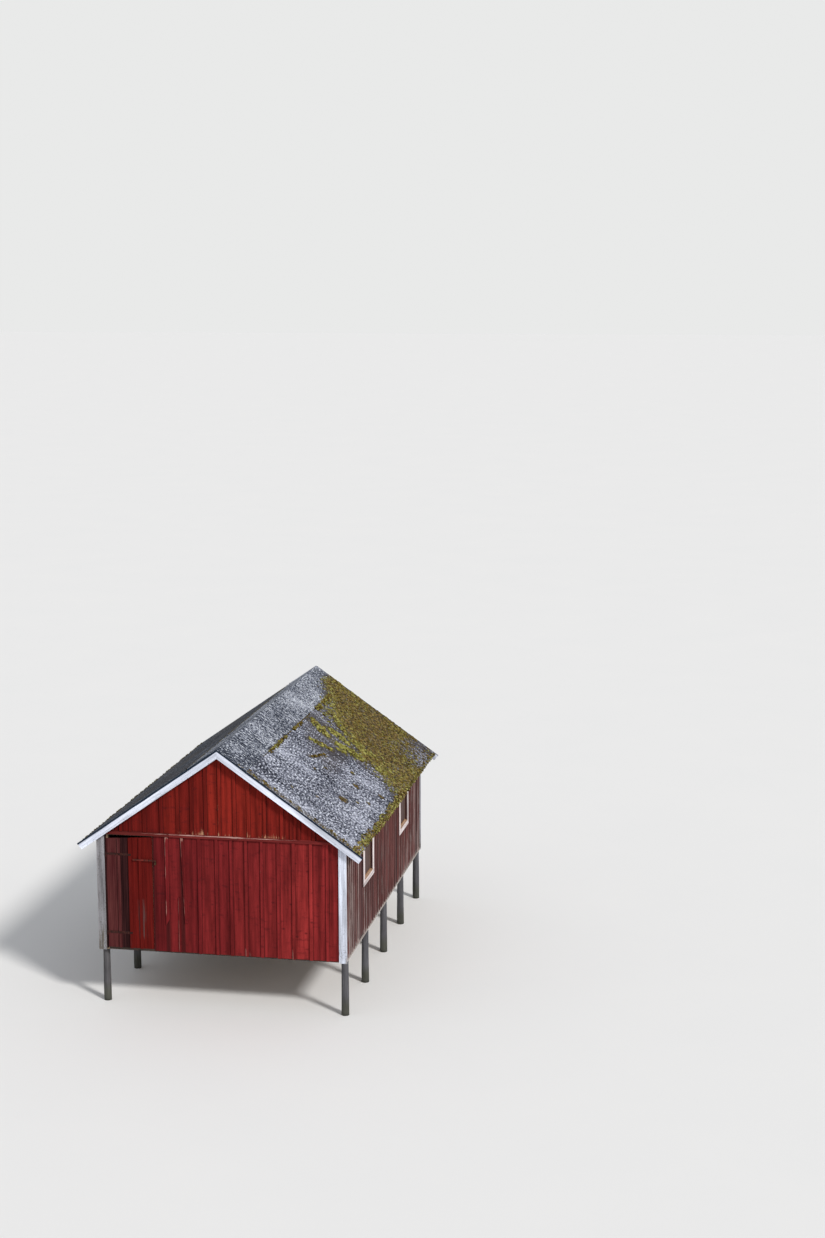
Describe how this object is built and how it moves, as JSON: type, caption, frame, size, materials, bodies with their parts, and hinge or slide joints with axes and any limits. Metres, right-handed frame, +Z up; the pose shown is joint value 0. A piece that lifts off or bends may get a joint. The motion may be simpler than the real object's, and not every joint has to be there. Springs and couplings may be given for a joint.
{
  "type": "timber boathouse on posts",
  "caption": "Small boarded timber boathouse on round posts, with a felted ridge roof, a hinged plank door on the land gable and closed boat doors on the water gable.",
  "frame": {"origin": "middle of the outline in plan, on the plane of the posts' feet", "axes": "+Z up, +Y along the ridge from the land gable to the water gable, +X to the right as seen from the land"},
  "size_m": [4.8, 7.08, 4.4369],
  "materials": {
    "red_boards": "matt red distemper on sawn boards",
    "weathered_red": "worn red distemper on sawn boards, going grey",
    "white_paint": "flaking white paint on planed boards",
    "panel_boards": "bare weathered boards",
    "bare_timber": "unpainted sawn timber",
    "posts": "barked round logs, grey",
    "roof_felt": "mineral felt with lichen and moss",
    "iron": "rusty wrought iron",
    "lock_metal": "dull brass body, steel shackle"
  },
  "bodies": {
    "house": {"posts_left": "posts", "posts_right": "posts", "side_sills": "bare_timber", "end_sills": "bare_timber", "floor_joists": "bare_timber", "floor": "bare_timber", "side_studs": "bare_timber", "gable_studs": "bare_timber", "wall_plates": "bare_timber", "gable_beams": "bare_timber", "tie_beams": "bare_timber", "rafters_left": "bare_timber", "rafters_right": "bare_timber", "ridge_board": "bare_timber", "roof_boards_left": "bare_timber", "roof_boards_right": "bare_timber", "roof_felt_left": "roof_felt", "roof_felt_right": "roof_felt", "ridge_felt": "roof_felt", "bargeboards_front": "white_paint", "bargeboards_back": "white_paint", "front_wall_left": "red_boards", "front_wall_right": "red_boards", "front_gable": "red_boards", "back_wall_left": "red_boards", "back_wall_right": "red_boards", "back_gable": "red_boards", "left_wall": "weathered_red", "right_wall": "weathered_red", "drip_rails": "red_boards", "gable_battens": "red_boards", "side_battens": "weathered_red", "corner_boards": "white_paint", "window_casings": "white_paint", "window_panels": "panel_boards", "boat_doors": "red_boards", "hinge_pintles": "iron", "staple": "iron"},
    "door": {"door_leaf": "red_boards", "door_ledges": "red_boards", "door_battens": "red_boards", "hinge_straps": "iron", "hasp": "iron", "padlock": "lock_metal"}
  },
  "joints": [
    {"name": "door_hinge", "type": "hinge", "parent": "house", "child": "door", "pos_m": [-1.9502, -3.4362, 1.91], "axis": [0, 0, -1], "range_deg": [0, 110]}
  ]
}
